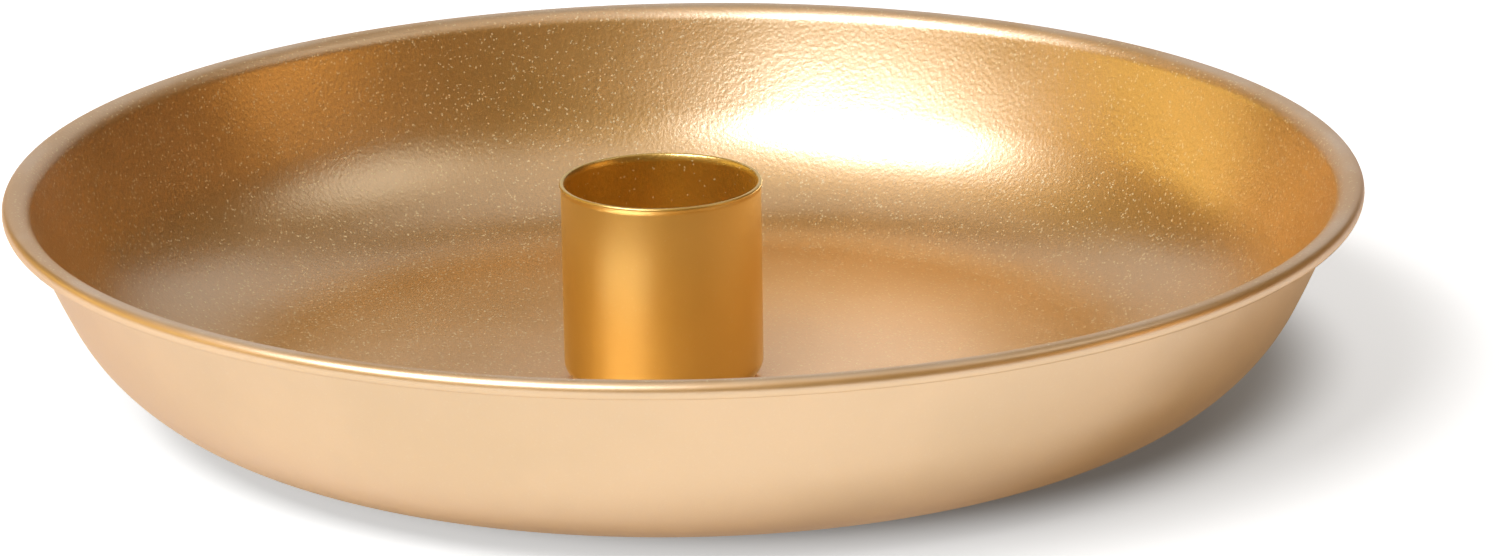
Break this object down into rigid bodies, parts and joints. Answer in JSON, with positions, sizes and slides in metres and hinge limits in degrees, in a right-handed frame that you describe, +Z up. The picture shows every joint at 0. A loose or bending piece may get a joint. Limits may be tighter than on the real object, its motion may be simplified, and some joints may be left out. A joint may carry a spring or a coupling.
{
  "type": "candle plate",
  "caption": "Shallow round metal dish with a curled rim and a small belled cup fixed to its floor that holds a dinner candle upright.",
  "frame": {"origin": "on the table, under the centre of the dish's flat base", "axes": "+Z up along the dish's axis, +X to the picture's right, +Y away from the camera; the cup stands 2.7 mm to the -X side of the dish's axis"},
  "size_m": [0.16, 0.16, 0.0259],
  "materials": {
    "dish_paint": "satin gold paint with fine flake over smooth steel sheet",
    "cup_paint": "satin gold paint with fine flake over drawn steel sheet",
    "weld_steel": "bare weld metal, hidden between the sheets"
  },
  "bodies": {
    "root": {"dish": "dish_paint", "candle_cup": "cup_paint", "weld_nuggets": "weld_steel"}
  },
  "joints": []
}
